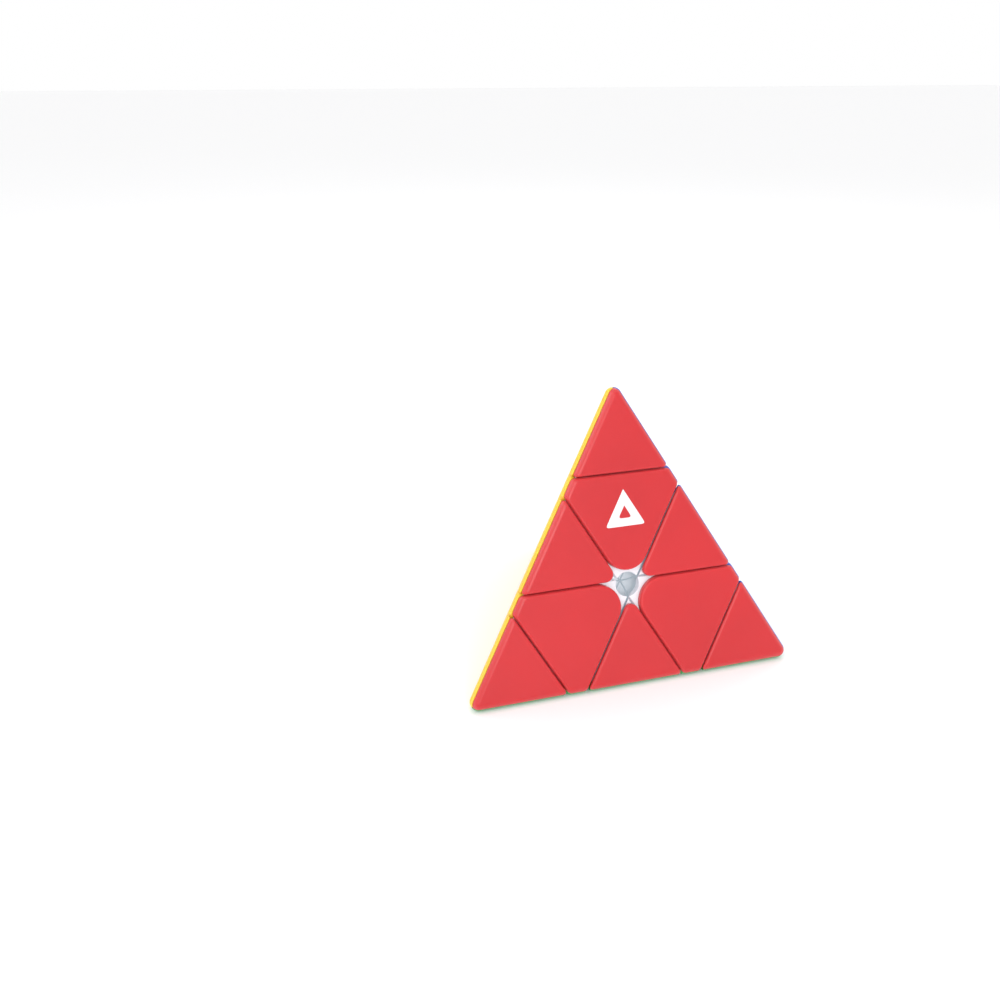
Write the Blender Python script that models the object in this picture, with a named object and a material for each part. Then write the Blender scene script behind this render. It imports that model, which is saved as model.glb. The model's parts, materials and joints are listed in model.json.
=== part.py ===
"""Pyramid twisty puzzle, solved and standing on its green face, with every piece as its own solid.

Metres, +Z up. The origin is the middle of the core, where the four turning axes meet.
Each axis runs from there to a vertex of the tetrahedron: top, left, right and back.
Across every joint the pieces are parted by surfaces that are round about the turning axis:
a flat cut outside, then a shell with the centre pieces' flanges, then a shell with the edge
pieces' feet, which the flanges hold down, and the core's ball in the middle.
"""

import math

import bmesh
import bpy
from mathutils import Matrix, Vector

MM = 0.001

# Driving dimensions of the outside
SIDE = 105.0 * MM  # edge of the tetrahedron before its edges are rounded: 98 mm over the tips
EDGE_ROUND = 2.4 * MM
TIP_CUT = 0.316  # where the tips are cut off, as a share of the height measured from the vertex
LAYER_CUT = 0.654  # where the layers are cut, measured the same way
HALF_GAP = 0.3 * MM  # from a cut to the wall on each side of it
CAP_THICKNESS = 1.8 * MM
SEAT_GAP = 0.15 * MM  # between a cap and the frame under it
HALF_SEAM = 0.1 * MM  # between two caps of one piece, along the tetrahedron's edge
CAP_STAR_REACH = {"centre": 4.4 * MM, "edge": 5.6 * MM}  # from a face's middle to the cap's corner
FRAME_HOLE = 3.6 * MM  # radius of the round hole that the frames leave in a face's middle

# Driving dimensions of the inside, measured from the origin
BALL_RADIUS = 8.2 * MM
FOOT_INNER = 9.8 * MM
FOOT_TO_FLANGE = 14.2 * MM  # the sphere between the feet and the flanges
FLANGE_TO_SHELL = 17.4 * MM  # the sphere between the flanges and the outer bodies
SPHERE_GAP = 0.25 * MM  # from one of those spheres to the wall on each side of it
FLANGE_ANGLE = 48.6  # half angles in degrees, seen from the origin
NECK_ANGLE = 59.4
FOOT_ANGLE = 69.6
HUB_ROOT_ANGLE = 46.0  # where a hub joins the flange above it
HUB_CLEARANCE = 71.6  # a hub keeps outside this half angle round each of the other vertices
NECK_ROOT = 1.2 * MM  # how far the neck reaches into its outer body

ARM_RADIUS = 3.0 * MM
ARM_END = 21.5 * MM
ARM_BORE = 1.7 * MM
ARM_BORE_END = 9.5 * MM
BUSH_RADIUS = 3.3 * MM  # the centre piece's bore round the arm
SPRING_SEAT = 18.0 * MM
SPRING_TOP = 28.0 * MM
SPRING_RADIUS = 4.0 * MM
SPRING_TURNS = 4.5
WIRE_RADIUS = 0.45 * MM
WELL_RADIUS = 4.95 * MM
WELL_END = 34.2 * MM
THROAT_RADIUS = 4.5 * MM
SCREW_TIP = 10.5 * MM
SCREW_RADIUS = 1.4 * MM
WASHER_RADIUS = 4.45 * MM
WASHER_THICKNESS = 0.8 * MM
SCREW_HEAD_RADIUS = 3.0 * MM
SCREW_HEAD_HEIGHT = 1.5 * MM
CROSS_DEPTH = 0.9 * MM
CROSS_LENGTH = 3.8 * MM
CROSS_WIDTH = 0.9 * MM
STEM_RADIUS = 4.2 * MM
STEM_BORE = 2.8 * MM
STEM_END = 31.4 * MM
STEM_BORE_END = 35.6 * MM
BARB_RADIUS = 4.72 * MM
BARB_HEIGHT = 1.0 * MM
BARB_GAP = 0.3 * MM
STEM_SLOT = 0.8 * MM

# Fineness of the round shapes
SEGMENTS = 28
ARC_STEP = 10.0  # degrees
ROUND_STEPS = 4
STAR_PLANES = 5
WIRE_SIDES = 6
COIL_STEPS = 12

# Worked out from the driving dimensions
HEIGHT = SIDE * math.sqrt(2 / 3)
TO_FACE = HEIGHT / 4
TO_LAYER = (0.75 - LAYER_CUT) * HEIGHT
TO_TIP = (0.75 - TIP_CUT) * HEIGHT

VERTICES = {
    "top": Vector((0, 0, 1)),
    "left": Vector((-math.sqrt(6), -math.sqrt(2), -1)) / 3,
    "right": Vector((math.sqrt(6), -math.sqrt(2), -1)) / 3,
    "back": Vector((0, 2 * math.sqrt(2), -1)) / 3,
}
FACES = {"red": "back", "blue": "left", "yellow": "right", "green": "top"}  # colour: opposite vertex
EDGES = {  # each edge piece, and the layer that carries it first
    ("top", "left"): "top",
    ("top", "right"): "right",
    ("left", "right"): "left",
    ("top", "back"): "back",
    ("left", "back"): "back",
    ("right", "back"): "back",
}
FURTHEST = {"top": (0, 0, 1), "left": (-1, 0, 0), "right": (1, 0, 0), "back": (0, 1, 0)}

COLOURS = {
    "red": (0.76, 0.06, 0.07, 1),
    "blue": (0.02, 0.16, 0.62, 1),
    "yellow": (0.90, 0.62, 0.02, 1),
    "green": (0.03, 0.42, 0.10, 1),
    "white": (0.86, 0.87, 0.90, 1),
    "core": (0.70, 0.73, 0.78, 1),
    "steel": (0.62, 0.63, 0.65, 1),
}


def make_materials():
    """One plastic for each colour, and steel for the screws and springs."""
    materials = {}
    for name, colour in COLOURS.items():
        material = bpy.data.materials.new(name)
        material.use_nodes = True
        shader = material.node_tree.nodes["Principled BSDF"]
        shader.inputs["Base Color"].default_value = colour
        shader.inputs["Metallic"].default_value = 1.0 if name == "steel" else 0.0
        shader.inputs["Roughness"].default_value = 0.3 if name == "steel" else 0.35
        materials[name] = material
    return materials


def faces_at(*vertex_names):
    """The colours of the faces that all these vertices lie on, with each face's outward direction."""
    return {c: -VERTICES[v] for c, v in FACES.items() if v not in vertex_names}


# Convex blocks: a tetrahedron cut down by planes


def sharp_block():
    """The tetrahedron with sharp edges."""
    bm = bmesh.new()
    for direction in VERTICES.values():
        bm.verts.new(direction * 3 * TO_FACE)
    bmesh.ops.convex_hull(bm, input=bm.verts)
    return bm


def rounded_block():
    """The tetrahedron with every edge and vertex rounded: the hull of a patch of ball at each vertex.

    Each patch also has the ball's furthest point along X, Y or Z, so the hull has the ball's full size.
    """
    bm = bmesh.new()
    for name, direction in VERTICES.items():
        middle = direction * 3 * (TO_FACE - EDGE_ROUND)
        first, second, third = faces_at(name).values()
        for i in range(ROUND_STEPS + 1):
            for j in range(ROUND_STEPS + 1 - i):
                blend = first * i + second * j + third * (ROUND_STEPS - i - j)
                bm.verts.new(middle + blend.normalized() * EDGE_ROUND)
        bm.verts.new(middle + Vector(FURTHEST[name]) * EDGE_ROUND)
    bmesh.ops.remove_doubles(bm, verts=bm.verts, dist=1e-6)
    hull = bmesh.ops.convex_hull(bm, input=bm.verts)
    left_over = set(hull["geom_unused"] + hull["geom_interior"])
    bmesh.ops.delete(bm, geom=list(left_over), context="VERTS")
    bmesh.ops.dissolve_limit(bm, angle_limit=math.radians(0.05), verts=bm.verts, edges=bm.edges)
    return bm


def clip(bm, direction, distance):
    """Cuts off everything further than distance along direction, and closes the cut."""
    unit = direction.normalized()
    geometry = bm.verts[:] + bm.edges[:] + bm.faces[:]
    bmesh.ops.bisect_plane(
        bm, geom=geometry, dist=1e-7, plane_co=unit * distance, plane_no=unit, clear_outer=True
    )
    rim = [edge for edge in bm.edges if edge.is_boundary]
    if rim:
        bmesh.ops.contextual_create(bm, geom=rim)


def clip_to_piece(bm, kind, names):
    """Cuts a block down to the room of one piece: a tip, a centre piece or an edge piece."""
    for name, direction in VERTICES.items():
        if kind == "tip" and name in names:
            clip(bm, -direction, -(TO_TIP + HALF_GAP))
        elif kind == "centre" and name in names:
            clip(bm, -direction, -(TO_LAYER + HALF_GAP))
            clip(bm, direction, TO_TIP - HALF_GAP)
        elif kind == "edge" and name in names:
            clip(bm, -direction, -(TO_LAYER + HALF_GAP))
        elif kind != "tip":
            clip(bm, direction, TO_LAYER - HALF_GAP)


def clip_star_corner(bm, kind, names, colour, reach):
    """Rounds a piece's corner beside the hole in the middle of a face, as an arc between its walls."""
    outward = -VERTICES[FACES[colour]]
    third = next(n for n in VERTICES if n != FACES[colour] and (n in names) == (kind == "centre"))
    along = (VERTICES[third] - outward * outward.dot(VERTICES[third])).normalized()
    side = 1 if kind == "centre" else -1
    wall = (TO_LAYER - side * HALF_GAP - TO_FACE / 3) / math.sqrt(8 / 9)
    radius = reach + side * 2 * wall
    away = along * side
    across = outward.cross(away)
    for i in range(STAR_PLANES):
        angle = math.radians(120 * (i + 1) / (STAR_PLANES + 1) - 60)
        normal = across * math.sin(angle) - away * math.cos(angle)
        clip(bm, normal, (away * (reach + radius)).dot(normal) + radius)


def cap_block(kind, names, colour):
    """One coloured cap: the outer skin of a piece on one face, rounded over the tetrahedron's edges."""
    bm = rounded_block()
    outward = -VERTICES[FACES[colour]]
    clip(bm, -outward, -(TO_FACE - CAP_THICKNESS))
    for other in FACES:
        if other != colour:
            clip(bm, -VERTICES[FACES[other]] - outward, -HALF_SEAM)
    clip_to_piece(bm, kind, names)
    if kind != "tip":
        clip_star_corner(bm, kind, names, colour, CAP_STAR_REACH[kind])
    return bm


def frame_block(kind, names):
    """The outer part of a piece's white frame, inside its caps."""
    bm = sharp_block()
    for direction in VERTICES.values():
        clip(bm, -direction, TO_FACE - CAP_THICKNESS - SEAT_GAP)
    clip_to_piece(bm, kind, names)
    return bm


# Round solids: a profile turned about an axis through the origin


def arc(radius, start, end):
    """Profile points on a circle round the origin, from start to end degrees off the axis."""
    steps = max(1, math.ceil(abs(end - start) / ARC_STEP))
    angles = [math.radians(start + (end - start) * i / steps) for i in range(steps + 1)]
    return [(radius * math.sin(a), radius * math.cos(a)) for a in angles]


def turned(profile, direction, segments=SEGMENTS):
    """Turns (radius, height) points, which run from a lower to an upper point on the axis."""
    bm = bmesh.new()
    rotation = Vector((0, 0, 1)).rotation_difference(direction).to_matrix()
    rings = []
    for radius, height in profile:
        count = segments if radius > 1e-7 else 1
        turns = [2 * math.pi * k / segments for k in range(count)]
        points = [Vector((radius * math.cos(t), radius * math.sin(t), height)) for t in turns]
        rings.append([bm.verts.new(rotation @ point) for point in points])
    for lower, upper in zip(rings, rings[1:]):
        for k in range(segments):
            following = (k + 1) % segments
            corners = [lower[k % len(lower)], lower[following % len(lower)]]
            corners += [upper[following % len(upper)], upper[k % len(upper)]]
            bm.faces.new(dict.fromkeys(corners))
    return bm


def cross(length, width, low, high, direction, turn=0.0):
    """A prism with a plus-shaped section, its axis along direction and turned about it by turn degrees."""
    bm = bmesh.new()
    long, short = length / 2, width / 2
    rotation = Vector((0, 0, 1)).rotation_difference(direction).to_matrix()
    corners = []
    for quarter in range(4):
        for x, y in ((long, -short), (long, short), (short, short)):
            spin = Matrix.Rotation(math.radians(90 * quarter + turn), 3, "Z")
            corners.append(bm.verts.new(rotation @ spin @ Vector((x, y, low))))
    floor = bm.faces.new(corners)
    walls = bmesh.ops.extrude_face_region(bm, geom=[floor])
    top = [item for item in walls["geom"] if isinstance(item, bmesh.types.BMVert)]
    bmesh.ops.translate(bm, vec=direction * (high - low), verts=top)
    return bm


def coil(radius, start, end, turns, direction):
    """A coil spring: a ring of wire corners carried up a helix, with flat ends."""
    bm = bmesh.new()
    rotation = Vector((0, 0, 1)).rotation_difference(direction).to_matrix()
    steps = round(COIL_STEPS * turns)
    rings = []
    for i in range(steps + 1):
        angle = 2 * math.pi * turns * i / steps
        outward = Vector((math.cos(angle), math.sin(angle), 0))
        middle = outward * radius + Vector((0, 0, start + (end - start) * i / steps))
        ring = []
        for k in range(WIRE_SIDES):
            around = 2 * math.pi * k / WIRE_SIDES
            offset = outward * math.cos(around) + Vector((0, 0, math.sin(around)))
            ring.append(bm.verts.new(rotation @ (middle + offset * WIRE_RADIUS)))
        rings.append(ring)
    for lower, upper in zip(rings, rings[1:]):
        for k in range(WIRE_SIDES):
            following = (k + 1) % WIRE_SIDES
            bm.faces.new((lower[k], lower[following], upper[following], upper[k]))
    bm.faces.new(rings[0])
    bm.faces.new(rings[-1])
    return bm


# Objects, and the Booleans between them


def make_object(name, bm, material=None):
    """An object from a bmesh, with its origin at the centre, which lies on every turning axis."""
    bmesh.ops.recalc_face_normals(bm, faces=bm.faces)
    mesh = bpy.data.meshes.new(name)
    bm.to_mesh(mesh)
    bm.free()
    if material:
        mesh.materials.append(material)
    obj = bpy.data.objects.new(name, mesh)
    bpy.context.scene.collection.objects.link(obj)
    return obj


def combine(target, bm, operation):
    """Joins a second solid to an object, cuts it out, or keeps what they share."""
    other = make_object("tool", bm)
    modifier = target.modifiers.new("combine", "BOOLEAN")
    modifier.operation = operation
    modifier.object = other
    graph = bpy.context.evaluated_depsgraph_get()
    result = bpy.data.meshes.new_from_object(target.evaluated_get(graph))
    target.modifiers.clear()
    before = target.data
    target.data = result
    bpy.data.meshes.remove(before)
    tool_mesh = other.data
    bpy.data.objects.remove(other)
    bpy.data.meshes.remove(tool_mesh)


def finish_object(obj, material, parent, smooth_angle=30):
    """Gives an object its material, smooth round faces and the empty that carries it."""
    obj.data.materials.clear()
    obj.data.materials.append(material)
    obj.data.shade_smooth()
    obj.data.set_sharp_from_angle(angle=math.radians(smooth_angle))
    obj.parent = parent
    obj.matrix_parent_inverse = (world_of(parent)).inverted()


def world_of(empty):
    """Where an empty stands in the world, worked out from its chain of parents."""
    own = Matrix.LocRotScale(empty.location, empty.rotation_quaternion, None)
    if empty.parent is None:
        return own
    return world_of(empty.parent) @ empty.matrix_parent_inverse @ own


def make_axis(name, direction, parent):
    """An empty at the origin whose own Z is a turning axis."""
    empty = bpy.data.objects.new(name, None)
    empty.empty_display_size = 10 * MM
    empty.rotation_mode = "QUATERNION"
    bpy.context.scene.collection.objects.link(empty)
    empty.parent = parent
    if parent is not None:
        empty.matrix_parent_inverse = world_of(parent).inverted()
    empty.rotation_quaternion = Vector((0, 0, 1)).rotation_difference(direction)
    return empty


# The pieces


def core_spider():
    """The ball in the middle and its four arms, each bored for a screw."""
    ball = make_object("core_spider", turned(arc(BALL_RADIUS, 180, 0), VERTICES["top"]))
    for direction in VERTICES.values():
        arm = [(0, 0), (ARM_RADIUS, 0), (ARM_RADIUS, ARM_END), (0, ARM_END)]
        combine(ball, turned(arm, direction), "UNION")
    for direction in VERTICES.values():
        bore = [(0, ARM_BORE_END), (ARM_BORE, ARM_BORE_END), (ARM_BORE, ARM_END + MM), (0, ARM_END + MM)]
        combine(ball, turned(bore, direction, SEGMENTS // 2), "DIFFERENCE")
    return ball


def tension_screw(name, direction):
    """The screw that holds a centre piece to the core, with a flanged head that presses on the spring."""
    head_start = SPRING_TOP + WASHER_THICKNESS
    head_end = head_start + SCREW_HEAD_HEIGHT
    profile = [
        (0, SCREW_TIP),
        (SCREW_RADIUS * 0.5, SCREW_TIP),
        (SCREW_RADIUS, SCREW_TIP + SCREW_RADIUS),
        (SCREW_RADIUS, SPRING_TOP),
        (WASHER_RADIUS, SPRING_TOP),
        (WASHER_RADIUS, head_start),
        (SCREW_HEAD_RADIUS, head_start),
        (SCREW_HEAD_RADIUS, head_end - SCREW_HEAD_HEIGHT / 3),
        (SCREW_HEAD_RADIUS * 0.8, head_end),
        (0, head_end),
    ]
    screw = make_object(name, turned(profile, direction, SEGMENTS // 2))
    recess = cross(CROSS_LENGTH, CROSS_WIDTH, head_end - CROSS_DEPTH, head_end + MM, direction)
    combine(screw, recess, "DIFFERENCE")
    return screw


def tension_spring(name, direction):
    """The coil spring between the centre piece's seat and the screw's flange."""
    play = 0.15 * MM + WIRE_RADIUS
    bm = coil(SPRING_RADIUS, SPRING_SEAT + play, SPRING_TOP - play, SPRING_TURNS, direction)
    return make_object(name, bm)


def cut_face_holes(frame, *names):
    """Rounds off a frame's corners at the hole in the middle of each of its faces."""
    low, high = FLANGE_TO_SHELL - MM, TO_FACE + MM
    for outward in faces_at(*names).values():
        combine(frame, turned([(0, low), (FRAME_HOLE, low), (FRAME_HOLE, high), (0, high)], outward), "DIFFERENCE")


def hub(vertex):
    """What a centre piece has between the feet: a sleeve on the arm with a petal towards each face."""
    foot_top = FOOT_TO_FLANGE - SPHERE_GAP
    root = FOOT_TO_FLANGE + SPHERE_GAP + NECK_ROOT
    profile = arc(FOOT_INNER, 0, FOOT_ANGLE) + arc(foot_top, FOOT_ANGLE, HUB_ROOT_ANGLE)
    sleeve = make_object("hub", turned(profile + arc(root, HUB_ROOT_ANGLE, 0), VERTICES[vertex]))
    for other in VERTICES:
        if other != vertex:
            room = [(0, 0)] + arc(FLANGE_TO_SHELL, HUB_CLEARANCE, 0)
            combine(sleeve, turned(room, VERTICES[other]), "DIFFERENCE")
    bm = bmesh.new()
    bm.from_mesh(sleeve.data)
    bpy.data.objects.remove(sleeve)
    return bm


def centre_frame(name, vertex):
    """A centre piece's frame: flange and hub underneath, bore for the arm, well for spring and stem."""
    frame = make_object(name, frame_block("centre", [vertex]))
    under_shell = FLANGE_TO_SHELL + SPHERE_GAP
    under_flange = FOOT_TO_FLANGE + SPHERE_GAP
    profile = arc(under_shell, 180, FLANGE_ANGLE) + arc(under_flange, FLANGE_ANGLE, 0)
    combine(frame, turned(profile, VERTICES[vertex]), "DIFFERENCE")
    combine(frame, hub(vertex), "UNION")
    profile = [
        (0, FOOT_INNER - MM),
        (BUSH_RADIUS, FOOT_INNER - MM),
        (BUSH_RADIUS, SPRING_SEAT),
        (WELL_RADIUS, SPRING_SEAT),
        (WELL_RADIUS, WELL_END),
        (THROAT_RADIUS, WELL_END),
        (THROAT_RADIUS, TO_TIP + MM),
        (0, TO_TIP + MM),
    ]
    combine(frame, turned(profile, VERTICES[vertex]), "DIFFERENCE")
    cut_face_holes(frame, vertex)
    return frame


def tip_frame(name, vertex):
    """A tip's frame, with a split stem that snaps into the centre piece's throat and turns there."""
    frame = make_object(name, frame_block("tip", [vertex]))
    barb_top = WELL_END - BARB_GAP
    root = TO_TIP + HALF_GAP + 1.5 * MM
    profile = [
        (0, STEM_BORE_END),
        (STEM_BORE, STEM_BORE_END),
        (STEM_BORE, STEM_END),
        (STEM_RADIUS - 0.3 * MM, STEM_END),
        (BARB_RADIUS, barb_top - BARB_HEIGHT),
        (BARB_RADIUS, barb_top),
        (STEM_RADIUS, barb_top),
        (STEM_RADIUS, root),
        (0, root),
    ]
    combine(frame, turned(profile, VERTICES[vertex]), "UNION")
    slots = cross(4 * STEM_RADIUS, STEM_SLOT, STEM_END - MM, STEM_BORE_END - MM / 2, VERTICES[vertex], 45)
    combine(frame, slots, "DIFFERENCE")
    return frame


def edge_foot(first, second):
    """What holds an edge piece in: a thin neck between two flanges, and a foot spread out under them."""

    def sector():
        foot_top = FOOT_TO_FLANGE - SPHERE_GAP
        neck_top = FLANGE_TO_SHELL + SPHERE_GAP + NECK_ROOT
        profile = arc(FOOT_INNER, 0, FOOT_ANGLE) + arc(foot_top, FOOT_ANGLE, NECK_ANGLE)
        return profile + arc(neck_top, NECK_ANGLE, 0)

    foot = make_object("foot", turned(sector(), VERTICES[first]))
    combine(foot, turned(sector(), VERTICES[second]), "INTERSECT")
    bm = bmesh.new()
    bm.from_mesh(foot.data)
    bpy.data.objects.remove(foot)
    return bm


def edge_frame(name, first, second):
    """An edge piece's frame: the outer body, hollowed by the flanges' sphere, on its neck and foot."""
    frame = make_object(name, frame_block("edge", [first, second]))
    middle = (VERTICES[first] + VERTICES[second]).normalized()
    ball = arc(FLANGE_TO_SHELL + SPHERE_GAP, 180, 0)
    combine(frame, turned(ball, middle), "DIFFERENCE")
    combine(frame, edge_foot(first, second), "UNION")
    cut_face_holes(frame, first, second)
    return frame


def build():
    """Makes every piece and hangs it on the empty of the joint that carries it."""
    for obj in list(bpy.data.objects):
        bpy.data.objects.remove(obj)
    materials = make_materials()
    core = make_axis("core_axis", VERTICES["top"], None)
    finish_object(core_spider(), materials["core"], core)
    layers = {}
    for vertex, direction in VERTICES.items():
        layers[vertex] = make_axis(f"{vertex}_layer_axis", direction, core)
        tip = make_axis(f"{vertex}_tip_axis", direction, layers[vertex])
        finish_object(tension_screw(f"{vertex}_tension_screw", direction), materials["steel"], core)
        finish_object(tension_spring(f"{vertex}_tension_spring", direction), materials["steel"], core, 75)
        frame = centre_frame(f"{vertex}_centre_frame", vertex)
        finish_object(frame, materials["white"], layers[vertex])
        finish_object(tip_frame(f"{vertex}_tip_frame", vertex), materials["white"], tip)
        for colour in faces_at(vertex):
            for kind, carrier in (("centre", layers[vertex]), ("tip", tip)):
                cap = make_object(f"{vertex}_{kind}_cap_{colour}", cap_block(kind, [vertex], colour))
                finish_object(cap, materials[colour], carrier)
    for (first, second), carrier in EDGES.items():
        edge = f"{first}_{second}_edge"
        other = second if carrier == first else first
        axis = make_axis(f"{edge}_axis", VERTICES[other], layers[carrier])
        finish_object(edge_frame(f"{edge}_frame", first, second), materials["white"], axis)
        for colour in faces_at(first, second):
            cap = make_object(f"{edge}_cap_{colour}", cap_block("edge", [first, second], colour))
            finish_object(cap, materials[colour], axis)


build()
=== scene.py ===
# %% [markdown]
# # A pyramid twisty puzzle
# The puzzle is a tetrahedron cut into four tips, four centre pieces and six edge pieces, which
# turn round a core with four arms. Each piece is a white frame that wears glossy coloured caps.
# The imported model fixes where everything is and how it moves. This lesson gives it its surface:
# soft-edged caps, wound springs, threaded screws, and plastics that look moulded.
# Lengths are in metres. The origin is the middle of the core, and +Z is up.

import json
import math

import bmesh
import bpy
import numpy as np
from mathutils import Matrix, Vector


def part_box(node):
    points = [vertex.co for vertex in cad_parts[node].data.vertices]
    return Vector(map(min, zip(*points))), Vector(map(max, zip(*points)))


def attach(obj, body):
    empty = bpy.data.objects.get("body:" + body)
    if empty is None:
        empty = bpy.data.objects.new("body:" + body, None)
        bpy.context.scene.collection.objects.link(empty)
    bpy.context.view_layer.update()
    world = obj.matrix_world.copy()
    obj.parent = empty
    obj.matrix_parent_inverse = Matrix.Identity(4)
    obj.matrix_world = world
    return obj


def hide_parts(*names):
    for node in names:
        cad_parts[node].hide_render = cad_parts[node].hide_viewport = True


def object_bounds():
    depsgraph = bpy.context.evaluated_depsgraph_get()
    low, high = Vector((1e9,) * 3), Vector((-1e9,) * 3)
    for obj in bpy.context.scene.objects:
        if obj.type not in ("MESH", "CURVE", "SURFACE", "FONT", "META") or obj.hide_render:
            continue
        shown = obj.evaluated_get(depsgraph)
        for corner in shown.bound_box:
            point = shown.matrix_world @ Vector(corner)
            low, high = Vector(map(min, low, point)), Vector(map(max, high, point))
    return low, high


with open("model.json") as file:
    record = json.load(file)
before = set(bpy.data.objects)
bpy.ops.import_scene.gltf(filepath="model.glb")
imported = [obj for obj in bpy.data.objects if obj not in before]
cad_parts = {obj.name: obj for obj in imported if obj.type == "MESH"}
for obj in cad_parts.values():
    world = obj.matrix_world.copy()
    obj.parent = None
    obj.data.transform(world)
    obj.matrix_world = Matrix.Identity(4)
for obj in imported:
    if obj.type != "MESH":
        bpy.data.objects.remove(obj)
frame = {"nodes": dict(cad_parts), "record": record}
CAD_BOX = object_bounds()
MM = 0.001
BODIES = frame["record"]["behaviour"]["bodies"]
BODY_OF = {node: body for body, nodes in BODIES.items() for node in nodes}

# %% [markdown]
# ## Reading the sizes from the frame
# Nothing is measured twice. The four directions are those of a regular tetrahedron, and every
# length that the caps need can be read from the boxes of a few nodes: a tip's lowest point is its
# cut, the height of a bottom cap is its thickness, and so on. If the model changes, this follows.

# %% Directions and sizes
VERTICES = {
    "top": np.array([0, 0, 1]),
    "left": np.array([-math.sqrt(6), -math.sqrt(2), -1]) / 3,
    "right": np.array([math.sqrt(6), -math.sqrt(2), -1]) / 3,
    "back": np.array([0, 2 * math.sqrt(2), -1]) / 3,
}
FACES = {"red": "back", "blue": "left", "yellow": "right", "green": "top"}  # colour: opposite vertex
EDGES = [
    ("top", "left"), ("top", "right"), ("left", "right"),
    ("top", "back"), ("left", "back"), ("right", "back"),
]

TO_FACE = -CAD_BOX[0].z
EDGE_ROUND = (3 * TO_FACE - CAD_BOX[1].z) / 2
CAP_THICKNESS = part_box("left_centre_cap_green")[1].z + TO_FACE
CAP_LIP = 0.12 * MM  # how far a cap stands out over its frame in a gap
TIP_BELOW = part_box("top_centre_cap_red")[1].z + CAP_LIP
TIP_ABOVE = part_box("top_tip_cap_red")[0].z - CAP_LIP
LAYER_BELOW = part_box("left_centre_cap_red")[1].z + CAP_LIP
LAYER_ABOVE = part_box("top_left_edge_cap_red")[0].z - CAP_LIP
STAR_REACH = {
    "centre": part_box("back_centre_cap_green")[0].y,
    "edge": -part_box("left_right_edge_cap_green")[1].y,
}
print(f"face {TO_FACE / MM:.2f} mm from the middle, edges rounded at {EDGE_ROUND / MM:.2f} mm")
print(f"gaps {(TIP_ABOVE - TIP_BELOW) / MM:.2f} and {(LAYER_ABOVE - LAYER_BELOW) / MM:.2f} mm wide")

# %% [markdown]
# ## The camera
# It looks a little down on the red face, from the left, so that the edges between the faces stay
# in sight. It aims beside the puzzle, which therefore stands right of the middle, and it leans by
# a third of a degree. A camera looks along its own -Z, so it is turned until -Z meets its aim.

# %% Camera
CAMERA_DISTANCE = 289 * MM
CAMERA_AZIMUTH, CAMERA_ELEVATION, CAMERA_LEAN = np.radians([-23.6, 30.1, 0.33])
CAMERA_AIM = Vector((-32.7 * MM, 0, 28.9 * MM))
LENS, FILM_WIDTH = 33.7, 36  # millimetres, the unit of a camera's data


def make_camera():
    """Places the camera on a sphere round the origin and turns it to the point it aims at."""
    level = CAMERA_DISTANCE * math.cos(CAMERA_ELEVATION)
    place = Vector((
        level * math.sin(CAMERA_AZIMUTH),
        -level * math.cos(CAMERA_AZIMUTH),
        CAMERA_DISTANCE * math.sin(CAMERA_ELEVATION),
    ))
    data = bpy.data.cameras.new("camera")
    data.lens = LENS
    data.sensor_width = FILM_WIDTH
    data.clip_start = 10 * MM
    camera = bpy.data.objects.new("camera", data)
    bpy.context.scene.collection.objects.link(camera)
    turn = (CAMERA_AIM - place).to_track_quat("-Z", "Y").to_matrix()
    turn = turn @ Matrix.Rotation(CAMERA_LEAN, 3, "Z")
    camera.matrix_world = Matrix.LocRotScale(place, turn.to_quaternion(), None)
    return camera


bpy.context.scene.camera = make_camera()
bpy.context.scene.view_settings.view_transform = "Standard"  # clear colours, without a film look
print("camera", [round(value / MM) for value in bpy.context.scene.camera.location], "mm")

# %% [markdown]
# ## Floor and light
# A studio table is a pale sheet with large soft lamps round it. Large lamps close by give wide,
# gentle shadows and a soft sheen on satin plastic. The key stands at the upper left of the camera,
# a smaller one in front looks into the holes, one behind draws the outline, and a white world lights
# the rest. The floor lies a hair below the puzzle, because two faces in one plane would flicker.

# %% Floor and lights
FLOOR_SIZE = 8.0
FLOOR_CLEARANCE = 0.05 * MM
FLOOR_COLOUR, FLOOR_ROUGHNESS = (0.95, 0.95, 0.955, 1), 0.7
WORLD_STRENGTH = 1.0
LAMPS = {  # azimuth and elevation in degrees, distance, width of the lamp, power in watts
    "key": (-62, 48, 0.75, 0.50, 1.2),
    "front": (-8, 24, 0.60, 0.20, 0.8),
    "rim": (150, 50, 0.85, 0.60, 0.8),
}


def make_floor():
    """A large flat sheet just under the face that the puzzle stands on."""
    half, level = FLOOR_SIZE / 2, -TO_FACE - FLOOR_CLEARANCE
    corners = [(-half, -half, level), (half, -half, level), (half, half, level), (-half, half, level)]
    mesh = bpy.data.meshes.new("floor")
    mesh.from_pydata(corners, [], [(0, 1, 2, 3)])
    floor = bpy.data.objects.new("floor", mesh)
    bpy.context.scene.collection.objects.link(floor)
    material = bpy.data.materials.new("floor_sheet")
    material.use_nodes = True
    shader = material.node_tree.nodes["Principled BSDF"]
    shader.inputs["Base Color"].default_value = FLOOR_COLOUR
    shader.inputs["Roughness"].default_value = FLOOR_ROUGHNESS
    mesh.materials.append(material)


def make_lamp(name, azimuth, elevation, distance, width, power):
    """A square lamp on a sphere round the puzzle, turned to the puzzle."""
    a, e = math.radians(azimuth), math.radians(elevation)
    place = distance * Vector((math.sin(a) * math.cos(e), -math.cos(a) * math.cos(e), math.sin(e)))
    data = bpy.data.lights.new(name, "AREA")
    data.size = width
    data.energy = power
    lamp = bpy.data.objects.new(name, data)
    bpy.context.scene.collection.objects.link(lamp)
    lamp.matrix_world = Matrix.LocRotScale(place, (-place).to_track_quat("-Z", "Y"), None)


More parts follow.
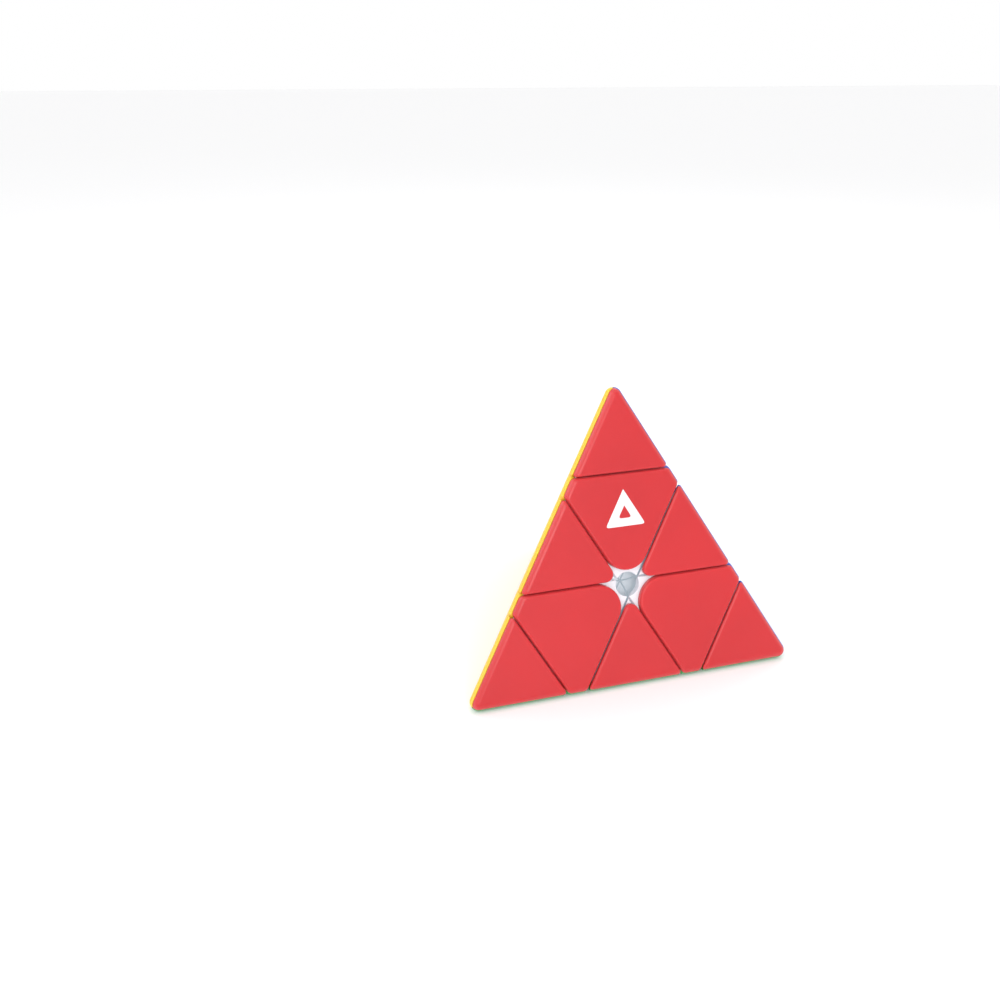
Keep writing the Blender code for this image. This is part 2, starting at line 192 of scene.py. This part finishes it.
def make_world():
    """An even white glow from everywhere."""
    world = bpy.data.worlds.new("pale_room")
    world.use_nodes = True
    background = world.node_tree.nodes["Background"]
    background.inputs["Color"].default_value = (1.0, 1.0, 1.0, 1)
    background.inputs["Strength"].default_value = WORLD_STRENGTH
    bpy.context.scene.world = world


make_floor()
make_world()
for name, settings in LAMPS.items():
    make_lamp(name, *settings)
print("lamps:", ", ".join(LAMPS))

# %% [markdown]
# ## Writing shaders as sums
# A material is a graph of small nodes, and long graphs are hard to read as links. The class below
# wraps an output socket, so that 1 - mask or noise * 0.2 adds the Math node by itself. Every other
# kind of node comes from one method, which sets its choices first and then its sockets.

# %% A socket that can be used in sums
class Wire:
    """An output socket in a material. Sums with it add Math nodes; node() adds any other kind."""

    def __init__(self, tree, socket):
        self.tree = tree
        self.socket = socket

    def node(self, kind, choices, sockets, output=0):
        """Adds a node, sets its choices, fills its sockets, and returns one of its outputs."""
        made = self.tree.nodes.new(kind)
        for name, value in choices.items():
            setattr(made, name, value)
        for name, value in sockets.items():
            if isinstance(value, Wire):
                self.tree.links.new(value.socket, made.inputs[name])
            else:
                made.inputs[name].default_value = value
        return Wire(self.tree, made.outputs[output])

    def math(self, operation, first, second):
        return self.node("ShaderNodeMath", {"operation": operation}, {0: first, 1: second})

    def __add__(self, other):
        return self.math("ADD", self, other)

    def __sub__(self, other):
        return self.math("SUBTRACT", self, other)

    def __rsub__(self, other):
        return self.math("SUBTRACT", other, self)

    def __mul__(self, other):
        return self.math("MULTIPLY", self, other)

    def above(self, low, high):
        """0 where this is below low, 1 above high, and a smooth step between."""
        limits = {"Value": self, "From Min": low, "From Max": high}
        return self.node("ShaderNodeMapRange", {"interpolation_type": "SMOOTHSTEP"}, limits)

    def noise(self, scale, detail):
        """Cloudy noise round 0.5, read at this position, with scale patches in each metre."""
        return self.node("ShaderNodeTexNoise", {}, {"Vector": self, "Scale": scale, "Detail": detail})

    def blend(self, low, high):
        """The colour low where this is 0 and high where it is 1."""
        return self.node("ShaderNodeMix", {"data_type": "RGBA"}, {0: self, 6: low, 7: high}, output=2)


PEEL_STRENGTH, PEEL_HEIGHT = 0.12, 0.02 * MM


def start_material(name):
    """A new material: its shader node, and the position on the object as a wire."""
    material = bpy.data.materials.new(name)
    material.use_nodes = True
    tree = material.node_tree
    shader = tree.nodes["Principled BSDF"]
    place = Wire(tree, None).node("ShaderNodeTexCoord", {}, {}, output="Object")
    return material, shader, place


def link(wire, shader, socket):
    """Joins a wire to one of the shader's sockets."""
    wire.tree.links.new(wire.socket, shader.inputs[socket])


def add_peel(place, shader, scale):
    """The faint orange peel of moulded plastic, as a bump."""
    sockets = {"Strength": PEEL_STRENGTH, "Distance": PEEL_HEIGHT, "Height": place.noise(scale, 3)}
    link(place.node("ShaderNodeBump", {}, sockets), shader, "Normal")


def let_light_in(shader, weight, reach, radius):
    """Lets light wander under the surface: how much of it, how far, and each colour's share of that."""
    shader.inputs["Subsurface Weight"].default_value = weight
    shader.inputs["Subsurface Scale"].default_value = reach
    shader.inputs["Subsurface Radius"].default_value = radius


# %% [markdown]
# ## Coloured plastic
# The caps are moulded in coloured plastic with a satin gloss. Moulded plastic is never quite
# even: the colour drifts a little where the melt flowed, fingers leave patches that shine more or
# less, and the skin has a faint orange peel. The edges are handled most, so they are a touch
# smoother and a little paler from wear; their paleness is also a painted highlight on the rounds,
# and the walls down into the gaps get the same paleness as painted light against their shade. The
# caps carry an attribute named rim that says how near an edge a point is.
# A little light wanders under the surface, which keeps the walls of the narrow gaps from going black.

# %% Coloured plastic
DEEPER = 0.93  # a colour's share where the melt ran dark
WHITENED = 0.06  # the share of white at an edge and down a gap's wall: a little wear, painted highlight and painted light
# how far rims and gap walls go to the paler tone: wear together with painted highlight and painted light
RIM_WEAR_AND_PAINTED_LIGHT, RIM_POLISH = 0.8, 0.06
GLOSS, GLOSS_DRIFT = 0.30, 0.10  # the smallest roughness, and how much patches add to it
PRINT_WHITE, PRINT_ROUGHNESS = (0.80, 0.80, 0.82, 1), 0.08
LIGHT_WEIGHT, LIGHT_REACH, LIGHT_SHARES = 0.6, 2.5 * MM, (1.0, 0.35, 0.35)


def coloured_plastic(name, colour, mark=None):
    """Satin plastic: slow drift of tone, patchy gloss, orange peel, and smoother edges, paler from wear and
    a painted highlight.
    """
    material, shader, place = start_material(name)
    rim = place.node("ShaderNodeAttribute", {"attribute_name": "rim"}, {}, output="Fac")
    drift = place.noise(38, 2)
    patches = place.noise(210, 5)
    deep = [value * DEEPER for value in colour] + [1]
    pale = [value * (1 - WHITENED) + WHITENED for value in colour] + [1]
    tone = drift.above(0.25, 0.75).blend(deep, colour + (1,))
    # paler rims and gap walls: a little wear, a painted highlight on the rounds and painted light in the
    # shaded gaps
    tone = (rim * RIM_WEAR_AND_PAINTED_LIGHT).blend(tone, pale)
    gloss = patches * GLOSS_DRIFT + GLOSS - rim * RIM_POLISH
    if mark is not None:
        printed = mark(place)
        tone = printed.blend(tone, PRINT_WHITE)
        gloss = gloss + printed * PRINT_ROUGHNESS
    link(tone, shader, "Base Color")
    link(gloss, shader, "Roughness")
    add_peel(place, shader, 1500)
    let_light_in(shader, LIGHT_WEIGHT, LIGHT_REACH, LIGHT_SHARES)
    return material


RED, BLUE = (0.59, 0.016, 0.022), (0.01, 0.08, 0.50)
YELLOW, GREEN = (0.88, 0.55, 0.01), (0.01, 0.32, 0.06)
PLASTICS = {
    "red": coloured_plastic("red_plastic", RED),
    "blue": coloured_plastic("blue_plastic", BLUE),
    "yellow": coloured_plastic("yellow_plastic", YELLOW),
    "green": coloured_plastic("green_plastic", GREEN),
}
print("plastics:", ", ".join(PLASTICS))

# %% [markdown]
# ## A plain printed mark
# One centre cap carries a small white print. A print is colour only, so it belongs in the
# material and not in the mesh. The mark here is a rounded triangle with a triangle left open
# inside. A triangle is where the furthest of three directions stays below a limit, so one
# distance gives both outlines.

# %% Printed mark
MARK_RISE = 20.6 * MM  # from the face's middle towards the top
MARK_OUTSIDE, MARK_INSIDE = 3.5 * MM, 1.2 * MM  # from the mark's middle to the sides of its outlines
MARK_CORNER = 1.5 * MM
PRINT_BLUR = 0.05 * MM


def triangle_mark(place):
    """1 on the print: the distance to the furthest side lies between the two outlines."""
    upwards = (VERTICES["top"] + VERTICES["back"] / 3) / math.sqrt(8 / 9)
    along = {0: place, 1: upwards}
    rise = place.node("ShaderNodeVectorMath", {"operation": "DOT_PRODUCT"}, along, output="Value")
    x = place.node("ShaderNodeSeparateXYZ", {}, {0: place}, output="X")
    below = MARK_RISE - rise
    beside = x.node("ShaderNodeMath", {"operation": "ABSOLUTE"}, {0: x}) * math.sqrt(3 / 4) - below * 0.5
    limits = {0: below, 1: beside, 2: MARK_CORNER}
    distance = x.node("ShaderNodeMath", {"operation": "SMOOTH_MAX"}, limits)
    within = 1 - distance.above(MARK_OUTSIDE - PRINT_BLUR, MARK_OUTSIDE + PRINT_BLUR)
    return within * distance.above(MARK_INSIDE - PRINT_BLUR, MARK_INSIDE + PRINT_BLUR)


MARKED_RED = coloured_plastic("marked_red_plastic", RED, triangle_mark)
print(f"mark {MARK_OUTSIDE * math.sqrt(12) / MM:.0f} mm wide")

# %% [markdown]
# ## White frames, core and steel
# Under the caps everything is plain moulded white. Looking through the star-shaped hole in a
# face, the outer walls are bright and the parts near the core look a pale grey-blue, so the white
# drifts to that tone with the distance from the middle: painted shade, darker towards the bottom of
# the hole, and the core wears the shaded tone all over. Thin white walls pass light on, so that the
# hole's bottom isn't black, and a faint glow near the core stands for that light. Springs and screws
# are plated steel with a little unevenness in its shine.

# %% White plastic and steel
# the grey-blue is painted shade, the darker tone that white takes deep in the hole
WHITE, SHADE_GREY = (0.78, 0.80, 0.85), (0.64, 0.67, 0.695)
DEEP_GLOW, OUTER_GLOW = (0.125, 0.14, 0.15), (0.02, 0.02, 0.022)
CLOUD_WHITE, CLOUD_SHARE = (0.72, 0.74, 0.79), 0.25
STEEL_DARK, STEEL_BRIGHT = (0.52, 0.53, 0.55), (0.70, 0.71, 0.73)


def white_plastic(name, inner_radius, outer_radius):
    """White plastic with painted shade: it turns grey-blue and glows faintly below inner_radius from the
    middle.
    """
    material, shader, place = start_material(name)
    distance = place.node("ShaderNodeVectorMath", {"operation": "LENGTH"}, {0: place}, output="Value")
    outside = distance.above(inner_radius, outer_radius)
    # painted shade: grey-blue towards the middle, white further out
    tone = outside.blend(SHADE_GREY + (1,), WHITE + (1,))
    tone = (place.noise(60, 3) * CLOUD_SHARE).blend(tone, CLOUD_WHITE + (1,))
    link(tone, shader, "Base Color")
    link(place.noise(260, 4) * 0.12 + 0.34, shader, "Roughness")
    add_peel(place, shader, 1300)
    link(outside.blend(DEEP_GLOW + (1,), OUTER_GLOW + (1,)), shader, "Emission Color")
    shader.inputs["Emission Strength"].default_value = 1
    return material


def plated_steel(name):
    """Bright plated steel with cloudy shine."""
    material, shader, place = start_material(name)
    shader.inputs["Metallic"].default_value = 1
    link(place.noise(900, 4).blend(STEEL_DARK + (1,), STEEL_BRIGHT + (1,)), shader, "Base Color")
    link(place.noise(500, 4) * 0.2 + 0.2, shader, "Roughness")
    return material


FRAME_WHITE = white_plastic("white_plastic", 14.5 * MM, 18.5 * MM)
CORE_WHITE = white_plastic("core_plastic", 40 * MM, 50 * MM)
STEEL = plated_steel("plated_steel")

# %% [markdown]
# ## From rings to a piece
# Caps, springs and screws are all the same kind of surface: closed rings of points, one behind
# the other, with a face over the first and the last. So one function makes every new piece. The
# rings run from the outside inwards or from the top down, anticlockwise seen from the first ring's
# side, which makes all faces point outwards.

# %% Rings to a piece
def skin(node, rings, material, sharp_angle, rim=None):
    """Joins rings (ring, point, xyz) by four-sided faces, closes both ends, and stands for a node."""
    rows, columns = rings.shape[:2]
    number = np.arange(rows * columns).reshape(rows, columns)
    upper, lower = number[:-1], number[1:]
    corners = [upper, lower, np.roll(lower, -1, axis=1), np.roll(upper, -1, axis=1)]
    quads = np.stack(corners, axis=-1).reshape(-1, 4)
    faces = [number[0].tolist(), *quads.tolist(), number[-1, ::-1].tolist()]
    mesh = bpy.data.meshes.new(f"fine_{node}")
    mesh.from_pydata(rings.reshape(-1, 3).tolist(), [], faces)
    if rim is not None:
        attribute = mesh.attributes.new("rim", "FLOAT", "POINT")
        attribute.data.foreach_set("value", np.broadcast_to(rim[:, None], (rows, columns)).ravel())
    mesh.shade_smooth()
    mesh.set_sharp_from_angle(angle=math.radians(sharp_angle))
    mesh.materials.append(material)
    piece = bpy.data.objects.new(f"fine_{node}", mesh)
    bpy.context.scene.collection.objects.link(piece)
    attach(piece, BODY_OF[node])
    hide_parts(node)
    return piece


# %% [markdown]
# ## The shape of a cap
# A cap is a thin plate, so it is easiest to think of it as a stack of slices parallel to its face.
# Every slice is a polygon with rounded corners, and only the distances of its sides from the
# face's middle change with depth. A side beside a gap is a leaning wall with a small round on top.
# A side over an edge of the tetrahedron follows the big round there until it meets the seam with
# the next colour. This keeps the shape a function of two things: how deep, and how far round.

# %% Distances of a cap's sides
ROOT2, ROOT3 = math.sqrt(2), math.sqrt(3)
IN_PLANE = math.sqrt(8 / 9)  # how much of a vertex's direction lies in a face beside it
FACE_REACH = TO_FACE * ROOT2  # from a face's middle to the sharp edges
LEAN = 1 / 3 / IN_PLANE  # how far a cut shifts sideways for each unit of depth
WALL_ROUND = 0.75 * MM
HALF_SEAM = 0.1 * MM
SEAM_BLEND = 0.25 * MM


def wall_reach(depth, side, cut):
    """A cut's wall: side is 1 for the piece below the cut and -1 above it.

    The distance grows by the lean for each unit of depth. Near the face it follows a circle that
    touches both the face and the wall instead.
    """
    lean = side * LEAN
    slope = math.sqrt(1 + lean**2)
    reach = side * (cut - TO_FACE / 3) / IN_PLANE
    circle = np.sqrt(np.maximum(WALL_ROUND**2 - (WALL_ROUND - depth) ** 2, 0))
    on_circle = depth < WALL_ROUND * (1 - lean / slope)
    return np.where(on_circle, reach - WALL_ROUND * (slope - lean) + circle, reach + lean * depth)


def edge_reach(depth):
    """The side over an edge: a circle that touches both faces, then the seam's plane.

    The larger of the two insets holds, with a smooth change from one to the other.
    """
    round_inset = ROOT2 * EDGE_ROUND - np.sqrt(EDGE_ROUND**2 - (EDGE_ROUND - depth) ** 2)
    seam_inset = ROOT2 * depth + ROOT3 * HALF_SEAM
    overlap = np.maximum(SEAM_BLEND - np.abs(round_inset - seam_inset), 0)
    return FACE_REACH - np.maximum(round_inset, seam_inset) - overlap**2 / (4 * SEAM_BLEND)


# %% [markdown]
# The slices' corners are arcs that touch both sides. Most have a small fixed radius. The outer
# corner of a tip is part of a ball, which gives its radius at each depth, and the corner at the
# star-shaped hole is a wide arc that ends at a fixed distance from the face's middle.

# %% Slices of a cap
SLICES = 34
CORNER_POINTS = 13
CORNER_ROUND = {"tip": 0.35 * MM, "centre": 1.1 * MM, "edge": 0.35 * MM}
SHARPEST = 0.12 * MM
SIDES = {  # each side's direction in degrees, and what it is
    "tip": [(-60, "edge"), (60, "edge"), (180, "tip")],
    "centre": [(-60, "edge"), (0, "tip"), (60, "edge"), (120, "layer"), (240, "layer")],
    "edge": [(0, "edge"), (120, "layer"), (240, "layer")],
}


def side_reach(kind, what, depth):
    """The distance of one side of a cap from the face's middle, at each depth."""
    if what == "edge":
        return edge_reach(depth)
    if what == "tip":
        return wall_reach(depth, -1, TIP_ABOVE) if kind == "tip" else wall_reach(depth, 1, TIP_BELOW)
    return wall_reach(depth, -1, LAYER_ABOVE) if kind == "edge" else wall_reach(depth, 1, LAYER_BELOW)


def corner_radius(kind, first, second, reach, depth):
    """The radius of the corner between two sides' directions, at each depth."""
    if (first, second) == (120, 240):
        inset = WALL_ROUND - np.sqrt(WALL_ROUND**2 - np.maximum(WALL_ROUND - depth, 0) ** 2)
        return STAR_REACH[kind] + inset + 2 * reach
    if kind == "tip" and first == -60:
        ball = np.sqrt(EDGE_ROUND**2 - (EDGE_ROUND - depth) ** 2)
        beyond = 2 * (reach - FACE_REACH + ROOT2 * EDGE_ROUND) - ball
        return np.maximum(np.minimum(ball, beyond), SHARPEST)
    return CORNER_ROUND[kind] + np.minimum(depth, WALL_ROUND) / 2


def cap_slices(kind):
    """Outlines (depth, point, xy) of a cap, first side along x, and the depth of each.

    A corner's middle is where the two sides' lines meet when both are moved in by its radius, and
    its points lie round that middle between the two sides' directions.
    """
    depth = CAP_THICKNESS * (1 - np.cos(np.linspace(0, np.pi / 2, SLICES)))
    sides = SIDES[kind]
    corners = []
    for index, (first, what) in enumerate(sides):
        second, next_what = sides[(index + 1) % len(sides)]
        second += 360 * (second < first)
        a, b = math.radians(first), math.radians(second)
        here, there = side_reach(kind, what, depth), side_reach(kind, next_what, depth)
        radius = corner_radius(kind, first, second, here, depth)
        x = ((here - radius) * math.sin(b) - (there - radius) * math.sin(a)) / math.sin(b - a)
        y = ((there - radius) * math.cos(a) - (here - radius) * math.cos(b)) / math.sin(b - a)
        turn = np.linspace(a, b, CORNER_POINTS)
        arc = np.stack([np.cos(turn), np.sin(turn)], axis=-1)
        corners.append(np.stack([x, y], axis=-1)[:, None] + radius[:, None, None] * arc)
    return np.concatenate(corners, axis=1), depth


# %% [markdown]
# ## Placing the caps
# The same three shapes serve all four faces. A face has an outward direction, each cap has a
# direction within the face, and their cross product is the third axis. A last ring just inside
# the flat top keeps the shading of the flat part flat, because smooth shading spreads a change of
# direction over the whole face it belongs to.

# %% Caps
FLAT_SHRINK = 0.985
MARKED_CAP = "top_centre_cap_red"
CAP_SHAPES = {kind: cap_slices(kind) for kind in SIDES}


def cap_rings(kind, outward, along):
    """A cap's slices in space, and how much each ring belongs to the rounded rim."""
    slices, depth = CAP_SHAPES[kind]
    top = slices[:1]
    middle = top.mean(axis=1, keepdims=True)
    slices = np.concatenate([middle + (top - middle) * FLAT_SHRINK, slices])
    depth = np.concatenate([[0.0], depth])
    across = np.cross(outward, along)
    points = slices[..., :1] * along + slices[..., 1:] * across
    rim = np.clip(depth / WALL_ROUND, 0, 1)
    return points + (TO_FACE - depth)[:, None, None] * outward, rim


def make_cap(kind, names, colour):
    """The cap of one piece on one face. It points to its own vertex, or away from the third one."""
    outward = -VERTICES[FACES[colour]]
    others = [vertex for vertex in VERTICES if vertex not in names and vertex != FACES[colour]]
    guide = -VERTICES[others[0]] if kind == "edge" else VERTICES[names[0]]
    along = guide - outward * (outward @ guide)
    rings, rim = cap_rings(kind, outward, along / np.linalg.norm(along))
    node = f"{'_'.join(names)}_{kind}_cap_{colour}"
    material = MARKED_RED if node == MARKED_CAP else PLASTICS[colour]
    return skin(node, rings, material, 40, rim)


pieces = [("tip", (name,)) for name in VERTICES] + [("centre", (name,)) for name in VERTICES]
pieces += [("edge", names) for names in EDGES]
caps = [
    make_cap(kind, names, colour)
    for kind, names in pieces
    for colour, opposite in FACES.items()
    if opposite not in names
]
print(f"{len(caps)} caps, {sum(len(cap.data.polygons) for cap in caps)} faces")

# %% [markdown]
# ## Springs
# Each centre piece is pressed inwards by a coil spring on its screw. A spring is one round
# section carried along a helix. The winder closes the end turns a little, so the rise is a
# straight line less part of a sine wave: slow at both ends and faster in the middle.

# %% Springs
WIRE_RADIUS = 0.45 * MM
COIL_TURNS = 6
COIL_EASE = 0.35
COIL_POINTS = 48
WIRE_POINTS = 16


def frame_rotation(direction):
    """Turns +Z to a direction, as a matrix whose columns are the turned axes."""
    return np.array(Vector((0, 0, 1)).rotation_difference(Vector(direction)).to_matrix())


def spring_rings():
    """Rings (step, point, xyz) of a spring along +Z: a circle whose middle climbs a helix."""
    low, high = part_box("top_tension_spring")
    share = np.linspace(1, 0, COIL_TURNS * COIL_POINTS + 1)
    turn = 2 * np.pi * COIL_TURNS * share
    climb = share - COIL_EASE * np.sin(2 * np.pi * share) / (2 * np.pi)
    height = low.z + WIRE_RADIUS + climb * (high.z - low.z - 2 * WIRE_RADIUS)
    round_wire = np.linspace(0, 2 * np.pi, WIRE_POINTS, endpoint=False)
    radius = high.x - WIRE_RADIUS + WIRE_RADIUS * np.cos(round_wire)[None]
    points = [radius * np.cos(turn)[:, None], radius * np.sin(turn)[:, None]]
    points.append(height[:, None] - WIRE_RADIUS * np.sin(round_wire)[None])
    return np.stack(points, axis=-1)


SPRING = spring_rings()
for name, direction in VERTICES.items():
    skin(f"{name}_tension_spring", SPRING @ frame_rotation(direction).T, STEEL, 60)
print(f"springs of {COIL_TURNS} turns, {SPRING.shape[0]} rings each")

# %% [markdown]
# ## Screws
# A tension screw has a cross recess, a flange under its head that presses on the spring, and a
# thread along its shaft. It is a turned shape except in two places. In the recess the rings
# are not circles but the outline of a plus sign, and on the thread a point's distance from
# the axis rises and falls with its height less its share of a turn, which makes one long groove.

# %% Screws
SCREW_POINTS = 64
SHAFT_RADIUS, ROOT_RADIUS = 1.4 * MM, 1.15 * MM
HEAD_RADIUS, HEAD_HEIGHT, FLANGE_THICKNESS = 3.0 * MM, 1.5 * MM, 0.8 * MM
CROSS_HALF_LENGTH, CROSS_HALF_WIDTH, CROSS_DEPTH = 1.9 * MM, 0.45 * MM, 0.9 * MM
THREAD_PITCH = 0.7 * MM
THREAD_STEPS = 6
SOFT_EDGE = 0.12 * MM
RECESS_FLOOR, RECESS_FOOT = 0.8, 0.9  # the recess narrows to these shares of its outline
CROWN = (0.86, 0.95)  # shares of the head's radius where its round edge starts
TIP_SHARES, TIP_DROP = (0.75, 0.4), 0.6  # the tip's radii, and how far down the first one lies
TINY = 1e-9  # keeps a division by a sine or cosine of 0 finite


def screw_rings():
    """Rings (step, point, xyz) of a screw along +Z, from the floor of its recess down to its tip."""
    low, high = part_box("top_tension_screw")
    flange_radius, top = high.x, high.z
    turn = np.linspace(0, 2 * np.pi, SCREW_POINTS, endpoint=False)
    run, rise = np.abs(np.cos(turn)), np.abs(np.sin(turn))
    run, rise = np.maximum(run, TINY), np.maximum(rise, TINY)
    lying = np.minimum(CROSS_HALF_LENGTH / run, CROSS_HALF_WIDTH / rise)
    upright = np.minimum(CROSS_HALF_LENGTH / rise, CROSS_HALF_WIDTH / run)
    plus = np.maximum(lying, upright)
    circle = np.ones_like(turn)
    head_foot = top - HEAD_HEIGHT
    flange_foot = head_foot - FLANGE_THICKNESS
    steps = [  # the ring's outline and its height
        (plus * RECESS_FLOOR, top - CROSS_DEPTH),
        (plus * RECESS_FOOT, top - CROSS_DEPTH),
        (plus, top - SOFT_EDGE),
        (plus + SOFT_EDGE * circle, top),
        (circle * HEAD_RADIUS * CROWN[0], top),
        (circle * HEAD_RADIUS * CROWN[1], top - SOFT_EDGE * 2),
        (circle * HEAD_RADIUS, top - SOFT_EDGE * 5),
        (circle * HEAD_RADIUS, head_foot + SOFT_EDGE),
        (circle * (HEAD_RADIUS + SOFT_EDGE), head_foot),
        (circle * (flange_radius - SOFT_EDGE), head_foot),
        (circle * flange_radius, head_foot - SOFT_EDGE),
        (circle * flange_radius, flange_foot + SOFT_EDGE),
        (circle * (flange_radius - SOFT_EDGE), flange_foot),
        (circle * (SHAFT_RADIUS + SOFT_EDGE), flange_foot),
        (circle * SHAFT_RADIUS, flange_foot - SOFT_EDGE),
    ]
    start, end = flange_foot - HEAD_HEIGHT, low.z + SHAFT_RADIUS
    count = round((start - end) / THREAD_PITCH * THREAD_STEPS)
    height = np.linspace(start, end, count)[:, None]
    wave = np.cos(2 * np.pi * (height / THREAD_PITCH) - turn)
    fade = np.clip((start - height) / THREAD_PITCH, 0, 1)
    thread = SHAFT_RADIUS - (SHAFT_RADIUS - ROOT_RADIUS) * fade * (0.5 - 0.5 * wave)
    tip = [(thread[-1] * TIP_SHARES[0], end - SHAFT_RADIUS * TIP_DROP), (thread[-1] * TIP_SHARES[1], low.z)]
    radius = np.stack([ring for ring, _ in steps] + list(thread) + [ring for ring, _ in tip])
    heights = np.concatenate([[h for _, h in steps], height[:, 0], [h for _, h in tip]])
    level = np.broadcast_to(heights[:, None], radius.shape)
    return np.stack([radius * np.cos(turn), radius * np.sin(turn), level], axis=-1)


SCREW = screw_rings()
for name, direction in VERTICES.items():
    skin(f"{name}_tension_screw", SCREW @ frame_rotation(direction).T, STEEL, 35)
print(f"screws of {SCREW.shape[0]} rings each")

# %% [markdown]
# ## Frames and core
# The frames and the core already have their true shape, but their edges are knife-sharp and their
# round walls are made of flats. A copy of each is merged into one mesh, the flats that lie in one
# plane are joined, and a Bevel modifier rolls the edges. Round walls are then shaded smooth.

# %% Frames and core
MERGE = 0.002 * MM
FLAT_ANGLE = math.radians(0.5)
ROUND_ANGLE = math.radians(32)
FRAME_BEVEL = 0.22 * MM


def soften(node, material):
    """A merged copy of a node, with rolled edges and smooth round walls, which stands for the node."""
    mesh = frame["nodes"][node].data.copy()
    bm = bmesh.new()
    bm.from_mesh(mesh)
    bmesh.ops.remove_doubles(bm, verts=bm.verts, dist=MERGE)
    bmesh.ops.dissolve_limit(bm, angle_limit=FLAT_ANGLE, verts=bm.verts, edges=bm.edges)
    loose = sum(edge.is_boundary for edge in bm.edges)
    bm.to_mesh(mesh)
    bm.free()
    mesh.name = f"fine_{node}"
    mesh.shade_smooth()
    mesh.set_sharp_from_angle(angle=ROUND_ANGLE)
    mesh.materials.clear()
    mesh.materials.append(material)
    piece = bpy.data.objects.new(f"fine_{node}", mesh)
    bpy.context.scene.collection.objects.link(piece)
    bevel = piece.modifiers.new("rolled edges", "BEVEL")
    bevel.width = FRAME_BEVEL
    bevel.segments = 2
    bevel.angle_limit = ROUND_ANGLE
    bevel.use_clamp_overlap = True
    bevel.harden_normals = True
    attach(piece, BODY_OF[node])
    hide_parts(node)
    return loose


frames = [node for node in frame["nodes"] if node.endswith("_frame")]
open_edges = [soften(node, FRAME_WHITE) for node in frames]
open_edges.append(soften("core_spider", CORE_WHITE))
print(f"{len(open_edges)} frames and core, {sum(open_edges)} open edges")
